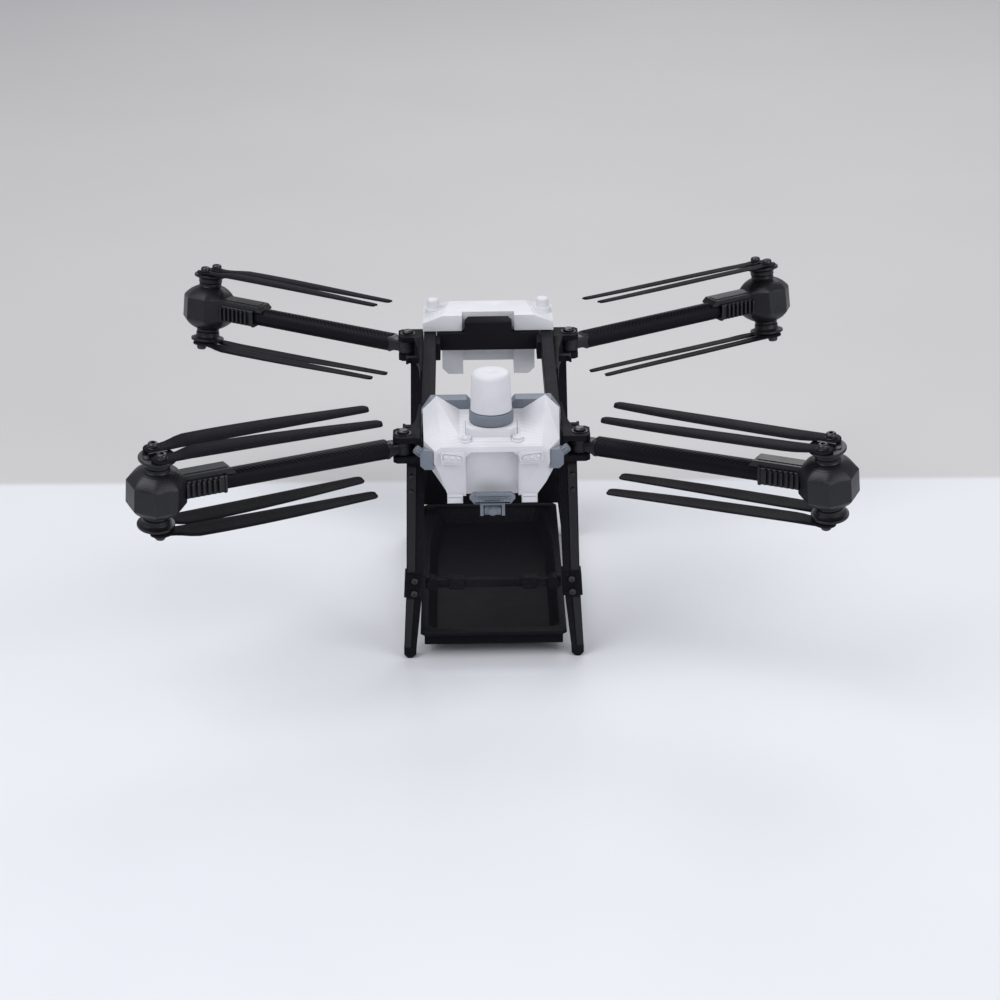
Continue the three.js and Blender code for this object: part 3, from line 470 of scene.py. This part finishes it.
def hub_shells():
    bell = lathe([(3.9, 9.5), (4.35, 9.6), (4.4, 9.9), (4.4, 10.6), (4.5, 11.0), (4.9, 11.4),
                  (5.6, 11.7), (6.05, 11.8), (6.2, 11.95), (6.2, 12.6), (6.05, HUB_TOP), (0.0, HUB_TOP)],
                 48)
    yoke = prism(round_rect(-3.4, 3.0, -0.34, 0.34, 0.3), HUB_TOP - 0.2, HUB_TOP + 1.5)
    cap = lathe([(1.25, HUB_TOP - 0.2), (1.25, HUB_TOP + 0.2), (1.0, HUB_TOP + 0.34), (0, HUB_TOP + 0.34)],
                24, (3.6, 0.0))
    return [bell, yoke, cap]


def hub_screws():
    head = BLADE_FLOOR + 1.3
    shells = []
    for side in (1, -1):
        shank = lathe([(0.9, 0), (0.9, head - HUB_TOP + 0.3)], 16)
        shells.append(placed(shank, 0, side * PIVOT, HUB_TOP - 0.1))
        shells.append(placed(lathe([(1.95, 0), (2.0, 0.08), (2.0, 0.2), (1.9, 0.28)], 28),
                             0, side * PIVOT, head - 0.27))
        shells.append(placed(cap_screw(1.8, 1.5), 0, side * PIVOT, head))
    return shells


def pod_shells():
    """Eight flats round the band, blending into round necks above and below."""
    sides = 48
    levels = [(9.2, 4.1, 1.0), (8.4, 4.15, 1.0), (8.1, 4.4, 1.0), (7.9, 4.95, 0.95), (7.4, 5.95, 0.8),
              (6.6, 7.1, 0.6), (5.6, 8.1, 0.35), (4.6, 8.8, 0.12), (4.1, 9.07, 0.0), (3.7, 9.1, 0.0)]
    loops = []
    for sign in (-1, 1):
        for z, reach, round_share in (levels if sign < 0 else reversed(levels)):
            loop = []
            for i in range(sides):
                angle = 2 * math.pi * i / sides
                local = (angle + math.pi / 8) % (math.pi / 4) - math.pi / 8
                flat = reach / math.cos(local)
                radius = lerp(flat, reach * 1.02, round_share)
                loop.append((radius * math.cos(angle), radius * math.sin(angle), sign * z))
            loops.append(loop)
    return [skin(loops)]


# ---------- arm ----------
SLEEVE_START, SLEEVE_END = 22.7, 6.5  # back from the pod's axis
FINS, FIN_PITCH, FIN_WIDTH = 7, 1.86, 0.8


def arm_tube(length):
    sides = 40
    loops = []
    for x, radius in ((6.4, 2.6), (6.6, 3.25), (6.9, 3.4), (length - 22, 3.4), (length - 7, 3.4)):
        loops.append([(x, radius * math.cos(2 * math.pi * i / sides),
                       radius * math.sin(2 * math.pi * i / sides)) for i in range(sides)])
    return [skin(loops)]


def arm_root():
    """The knuckle round the pin, its collars and the neck to the tube."""
    knuckle = lathe([(3.3, -2.3), (3.6, -2.1), (3.6, -0.9), (3.45, -0.8), (3.45, 0.8), (3.6, 0.9),
                     (3.6, 2.1), (3.3, 2.3)], 40)
    web = skin([[(x, y * w, z * h) for y, z in round_rect(-1, 1, -1, 1, 0.35, 3)]
                for x, w, h in ((0.5, 2.5, 2.1), (3.4, 2.75, 2.1), (5.2, 2.8, 2.15),
                                (6.3, 3.0, 2.8), (7.0, 3.0, 2.9))])
    return [knuckle, web]


def arm_sleeve(length):
    inner = length - SLEEVE_START
    outer = length - SLEEVE_END
    sleeve = prism(round_rect(-4.4, 4.4, -3.2, 3.2, 1.1), inner, outer, "x")
    lip = prism(round_rect(-4.75, 4.75, -3.4, 3.4, 1.1), inner, inner + 0.9, "x")
    roof = prism([(inner - 3.4, 2.6), (outer, 2.6), (outer, 4.7), (inner - 1.9, 4.7), (inner - 3.4, 3.3)],
                 -3.6, 3.6, "y")
    ridge = block(inner - 1.2, outer, -2.2, 2.2, 4.6, 4.95)
    return [sleeve, lip, roof, ridge]


def arm_fins(length):
    """Seven upright fins with rounded tops on each side, the outermost close to the pod."""
    inner = length - SLEEVE_START
    profile = [(4.0, -2.75), (4.3, -2.75), (5.2, -2.6), (5.5, -1.9), (5.5, 1.9), (5.25, 2.5), (4.6, 2.8),
               (4.0, 2.8)]
    shells = []
    for i in range(FINS):
        x = inner + 2.5 + i * FIN_PITCH
        shells += [prism([(side * reach, z) for reach, z in profile], x, x + FIN_WIDTH, "x")
                   for side in (1, -1)]
    return shells


for corner in CORNERS:
    level, beam, pod, reach = arm_frames(corner)
    body = f"arm_{corner}"
    piece(f"{body}_tube", arm_tube(reach), black_arm, body, beam, [f"arm_{corner}"])
    piece(f"{body}_knuckle", arm_root(), black, body, level, bevel=0.2)
    piece(f"{body}_sleeve", arm_sleeve(reach), black, body, beam, bevel=0.22)
    piece(f"{body}_fins", arm_fins(reach), black, body, beam, bevel=0.16)
    piece(f"{body}_pod", pod_shells(), black, body, pod, [f"motor_pod_{corner}"], smooth=24)
    for floor_name, flip in (("upper", Matrix()), ("lower", Matrix.Rotation(math.pi, 4, "X"))):
        rotor = f"{corner}_{floor_name}"
        hub_frame = pod @ flip
        piece(f"hub_{rotor}_bell", hub_shells(), black, f"hub_{rotor}", hub_frame,
              [f"hub_{rotor}"], smooth=40, bevel=0.08)
        piece(f"hub_{rotor}_screws", hub_screws(), screw_black, f"hub_{rotor}", hub_frame,
              smooth=30)
        for mark, side in (("a", 1), ("b", -1)):
            hinge = (hub_frame @ Matrix.Translation((0, side * PIVOT * MM, 0))
                     @ Matrix.Rotation(math.pi - side * math.radians(1.2), 4, "Z"))
            piece(f"blade_{rotor}_{mark}_wing", [blade_shell()], black_flat, f"blade_{rotor}_{mark}", hinge,
                  [f"blade_{rotor}_{mark}"], smooth=50)

# ---------- frame pieces ----------
for side in SIDES:
    dress(f"side_rail_{side}", black_flat, 0.3)
    dress(f"cheek_pod_{side}", grey, 0.35)
for corner in CORNERS:
    dress(f"arm_bracket_{corner}", black_flat, 0.35)
    dress(f"hinge_pin_{corner}", screw_black, 0.1)
    dress(f"leg_{corner}", black_flat, 0.35)
for node in ("rear_crossmember", "front_crossbar", "rear_panel", "cargo_tray"):
    dress(node, black_flat, 0.35)
for node in ("nose_back_shell", "canister_collar", "sensor_bar", "gimbal_bracket", "gimbal_camera"):
    dress(node, grey, 0.3)
dress("nose_shell", white, 0.7, segments=3, limit=22, smooth=46)
dress("rear_shell", white, 0.5, segments=3, limit=14)


# ---------- canister ----------
CANISTER = (0.0, -52.4)
canister_profile = [(6.88, 90.3), (6.9, 90.5), (6.45, 101.6), (6.38, 102.3), (6.1, 102.85), (5.6, 103.25),
                    (4.9, 103.4), (1.2, 103.4), (0.9, 103.3), (0.5, 103.18), (0.0, 103.15)]
piece("canister_body", [lathe(canister_profile, 64, CANISTER)], white, "frame",
      stands_for=["canister"], smooth=60)

# ---------- nose details ----------
NOSE_FRONT = -65.6
DECK_FRONT = 81.6
DECK_SLOPE = 0.25
LAMP = [(9.0, 76.4), (16.8, 76.5), (17.0, 80.1), (9.3, 79.1)]
BOSS = (8.6, -61.5)


def deck(y):
    return DECK_FRONT + (y - NOSE_FRONT) * DECK_SLOPE


def lamp_shells():
    """A lamp's rim, its cover and three small emitters behind it."""
    outline = round_corners(LAMP, 1.1)
    front = NOSE_FRONT - 0.6
    rim = ring(outline, shrunk(outline, 0.55), front + 0.3, front - 0.35, "y")
    cover = prism(shrunk(outline, 0.9), front + 0.3, front - 0.16, "y")
    emitters = [facing_front(dome(r, 0.34), x, front - 0.1, z)
                for x, z, r in ((11.0, 77.9, 0.62), (13.1, 78.1, 0.78), (15.2, 78.35, 0.72))]
    lip = prism(round_corners([(9.2, 75.75), (16.6, 75.9), (16.8, 76.35), (9.0, 76.3)], 0.2, 2),
                NOSE_FRONT + 0.4, NOSE_FRONT - 0.75, "y")
    return [rim, cover, lip] + emitters


def boss_shells():
    """A deck boss: a rim round a sunk screw, with the thin rib that runs back from it."""
    x, y = BOSS
    top = deck(y) + 1.0
    rim = ring(*[[(x + r * math.cos(a), y + r * math.sin(a)) for a in
                  [2 * math.pi * i / 28 for i in range(28)]] for r in (1.72, 1.15)], top - 0.6, top + 0.22)
    screw = placed(dome(0.95, 0.28), x, y, top)
    rib = skin([[(x + 0.3 + r * math.cos(a), at, deck(at) + 0.02 + r * math.sin(a)) for a in
                 [2 * math.pi * i / 10 for i in range(10)]]
                for at, r in ((y + 1.5, 0.3), (y + 4, 0.36), (y + 8, 0.36), (y + 11, 0.3))])
    foot = placed(lathe([(2.1, -0.5), (2.1, 0.06), (1.9, 0.2), (1.6, 0.34)], 28), x, y, deck(y))
    return [rim, screw, rib, foot]


def deck_step():
    """The low ribbed step between the bosses."""
    shells = []
    for i in range(6):
        y = -62.6 + i * 0.62
        shells.append(skin([[(x, y + dy, deck(y + dy) + dz) for dy, dz in
                             ((0, -0.3), (0, 0.12), (0.14, 0.24), (0.42, 0.24), (0.56, 0.12), (0.56, -0.3))]
                            for x in (-6.4, 6.4)]))
    return shells


def chin_foot():
    """The plate on the front of a chin block, with the notch over it."""
    front = NOSE_FRONT + 3.4 - 0.6
    plate = prism(round_corners([(10.2, 60.9), (14.6, 60.9), (14.6, 62.7), (10.2, 62.7)], 0.35, 2),
                  front + 0.2, front - 0.3, "y")
    lip = prism(round_corners([(9.9, 62.95), (14.9, 62.95), (14.6, 63.55), (10.2, 63.55)], 0.2, 2),
                front + 0.4, front - 0.5, "y")
    return [plate, lip]


piece("nose_lamps", both(lamp_shells()), white, "frame", smooth=40, bevel=0.06)
piece("nose_bosses", both(boss_shells()), white, "frame", smooth=40, bevel=0.05)
piece("nose_deck_step", deck_step(), white, "frame", smooth=40)
piece("nose_chin_feet", both(chin_foot()), white, "frame", smooth=40, bevel=0.06)

# ---------- chin sensors ----------
SENSOR = (63.3, -67.5)  # height and front face


def sensor_details():
    """The bar's top plate, its face frame and end bosses."""
    z, front = SENSOR
    top = prism([(-5.4, z + 1.45), (5.4, z + 1.45), (4.6, z + 2.1), (-4.6, z + 2.1)],
                front + 0.3, front + 2.2, "y")
    face = round_corners([(-6.9, z), (-6.0, z - 1.1), (6.0, z - 1.1), (6.9, z), (6.0, z + 1.1),
                          (-6.0, z + 1.1)], 0.3, 2)
    rim = ring(face, shrunk(face, 0.32), front + 0.2, front - 0.2, "y")
    ends = [facing_front(dome(0.42, 0.3, 16), x, front, z) for x in (-5.0, -4.0, 4.0, 5.0)]
    return [top, rim] + ends


def camera_details():
    """The tilting camera: a round housing with a stepped lens barrel facing forwards."""
    joint = JOINTS["gimbal_tilt"]["pos_m"]
    y, z = joint[1] / MM, joint[2] / MM
    barrel = facing_front(lathe([(1.72, 0.4), (1.72, 1.3), (1.5, 1.75), (1.25, 1.9), (1.25, 2.2),
                                 (0.95, 2.25), (0.9, 1.95), (0.0, 1.95)], 32), 0, y, z)
    lens = facing_front(dome(0.88, 0.22, 24), 0, y - 2.0, z)
    return [barrel], [lens]


piece("sensor_bar_details", sensor_details(), grey, "frame", smooth=40, bevel=0.05)
piece("sensor_bar_window", [prism(round_corners([(-2.6, 63.1), (2.6, 63.1), (2.6, 63.5), (-2.6, 63.5)],
                                                0.15, 2), -67.4, -67.58, "y")],
      lens_glass, "frame")
barrel_shells, lens_shells = camera_details()
piece("gimbal_camera_barrel", barrel_shells, grey, "gimbal_camera", smooth=40)
piece("gimbal_camera_lens", lens_shells, lens_glass, "gimbal_camera", smooth=60)

# ---------- landing leg details ----------
LEG_TOP_X, LEG_KNEE_X, LEG_FOOT_X = 25.4, 26.7, 29.0
LEG_TOP_Z, CLAMP_Z = 72.8, 26.9
LEG_FEET = {"front": -52.5, "rear": 51.5}
LEG_LEAN = 2.6


def leg_middle(end, z):
    """The middle of a left leg at a height."""
    x = (lerp(LEG_FOOT_X, LEG_KNEE_X, z / CLAMP_Z) if z < CLAMP_Z
         else lerp(LEG_KNEE_X, LEG_TOP_X, (z - CLAMP_Z) / (LEG_TOP_Z - CLAMP_Z)))
    return x, LEG_FEET[end] - ENDS[end] * LEG_LEAN * z / LEG_TOP_Z


def leg_ridge(end):
    """The raised outer half of a leg's outward face, with a half-round edge down its middle."""
    outward = ENDS[end]
    loops = []
    for z, grow in ((31.5, 0.0), (32.4, 0.45), (50, 0.5), (62, 0.5), (69.5, 0.45), (70.2, 0.0)):
        x, y = leg_middle(end, z)
        half = lerp(2.8, 3.1, (z - CLAMP_Z) / (LEG_TOP_Z - CLAMP_Z))
        face = y + outward * 2.4
        loops.append([(x - 0.2, face - outward * 0.3, z), (x - 0.1, face + outward * grow, z),
                      (x + 0.5, face + outward * grow * 0.75, z),
                      (x + half - 0.4, face + outward * grow * 0.6, z),
                      (x + half - 0.1, face - outward * 0.3, z)])
    low = []
    for z, grow in ((4.0, 0.0), (5.0, 0.4), (15, 0.5), (21.8, 0.5), (22.4, 0.0)):
        x, y = leg_middle(end, z)
        half = lerp(2.1, 2.8, z / CLAMP_Z)
        face = y + outward * 2.2
        low.append([(x - 0.2, face - outward * 0.3, z), (x - 0.1, face + outward * grow, z),
                    (x + half - 0.4, face + outward * grow * 0.6, z),
                    (x + half - 0.1, face - outward * 0.3, z)])
    return [skin(loops), skin(low)]


def leg_screws(end):
    """Cap screws on both bolts of a clamp and on the plate at the leg's top."""
    shells = []
    outward = ENDS[end]
    for z, stand, radius in ((CLAMP_Z - 2.3, 3.9, 1.15), (CLAMP_Z + 2.3, 3.9, 1.15), (66.5, 2.7, 0.8),
                             (61.0, 2.7, 0.8)):
        x, y = leg_middle(end, z)
        x += 0.0 if radius > 1 else 1.4
        turn = Matrix.Rotation(-outward * math.pi / 2, 4, "X")
        at = Matrix.Translation((x, y + outward * stand, z))
        shells.append(turned_shell(cap_screw(radius, 0.7), at @ turn))
    return shells


def clevis_details(corner):
    """The rim round a hinge pin's head."""
    pin = Vector(JOINTS[f"arm_fold_{corner}"]["pos_m"]) / MM
    x = abs(pin.x)
    shells = [ring(*[[(x + r * math.cos(a), pin.y + r * math.sin(a)) for a in
                      [2 * math.pi * i / 36 for i in range(36)]] for r in (2.75, 2.15)],
                   pin.z + 4.3, pin.z + 4.75)]
    return shells


for corner in CORNERS:
    end, side_name = corner.split("_")
    side = SIDES[side_name]
    piece(f"leg_{corner}_ridge", on_side(leg_ridge(end), side), black, "frame", bevel=0.1)
    piece(f"leg_{corner}_screws", on_side(leg_screws(end), side), screw_black, "frame")
    piece(f"clevis_{corner}_rim", on_side(clevis_details(corner), side), black, "frame",
          bevel=0.08)


# ---------- floor, light and camera ----------
def make_stage():
    mesh = bpy.data.meshes.new("floor")
    reach = 3.0
    mesh.from_pydata([(-reach, -reach, 0), (reach, -reach, 0), (reach, reach, 0), (-reach, reach, 0)],
                     [], [(0, 1, 2, 3)])
    floor = bpy.data.objects.new("floor", mesh)
    bpy.context.scene.collection.objects.link(floor)
    material = bpy.data.materials.new("floor_pale")
    n = Nodes(material)
    place = n.add("ShaderNodeTexCoord").outputs["Object"]
    split = n.add("ShaderNodeSeparateXYZ", Vector=place)
    edge = n.ramp(n.math("MULTIPLY_ADD", split.outputs[0], 0.02, split.outputs[1]), 0.104, 0.110)
    soft = n.noise(place, 6.0, 3.0)
    table = n.mix(soft, (0.66, 0.67, 0.71, 1), (0.72, 0.73, 0.77, 1))
    wall = n.mix(soft, (0.50, 0.49, 0.495, 1), (0.55, 0.54, 0.545, 1))
    n.put(n.shader, "Base Color", n.mix(edge, table, wall))
    n.put(n.shader, "Roughness", 0.55)
    mesh.materials.append(material)


def area_light(name, location, target, size, power):
    data = bpy.data.lights.new(name, "AREA")
    data.shape = "SQUARE"
    data.size = size
    data.energy = power
    lamp = bpy.data.objects.new(name, data)
    bpy.context.scene.collection.objects.link(lamp)
    lamp.location = location
    lamp.rotation_euler = (Vector(target) - Vector(location)).to_track_quat("-Z", "Y").to_euler()


def make_light():
    world = bpy.data.worlds.new("studio")
    bpy.context.scene.world = world
    world.use_nodes = True
    world.node_tree.nodes["Background"].inputs["Color"].default_value = (0.92, 0.94, 1.0, 1)
    world.node_tree.nodes["Background"].inputs["Strength"].default_value = 0.45
    area_light("key", (-0.55, -0.35, 1.0), (0, 0, 0.05), 0.9, 9.5)
    area_light("fill", (0.9, -0.7, 0.6), (0, 0, 0.05), 0.8, 6)
    area_light("rim", (0.2, 0.9, 0.8), (0, 0, 0.08), 0.7, 4)
    bpy.context.scene.view_settings.view_transform = "Standard"


ELEVATION = math.radians(22.32)
YAW = math.radians(0.61)
ROLL = math.radians(-0.61)
DISTANCE = 1.0238
TARGET = Vector((0.00318, 0.0, 0.0358))
LENS = 103.42


def make_camera():
    data = bpy.data.cameras.new("camera")
    data.lens = LENS
    data.sensor_width = 36.0
    data.clip_start = 0.01
    camera = bpy.data.objects.new("camera", data)
    bpy.context.scene.collection.objects.link(camera)
    ahead = Vector((math.sin(YAW) * math.cos(ELEVATION), math.cos(YAW) * math.cos(ELEVATION),
                    -math.sin(ELEVATION)))
    right = Vector((math.cos(YAW), -math.sin(YAW), 0))
    up = right.cross(ahead)
    rolled = right * math.cos(ROLL) + up * math.sin(ROLL)
    top = up * math.cos(ROLL) - right * math.sin(ROLL)
    matrix = Matrix((rolled, top, -ahead)).transposed().to_4x4()
    matrix.translation = TARGET - ahead * DISTANCE
    camera.matrix_world = matrix
    bpy.context.scene.camera = camera


make_stage()
make_light()
make_camera()

bpy.context.view_layer.update()
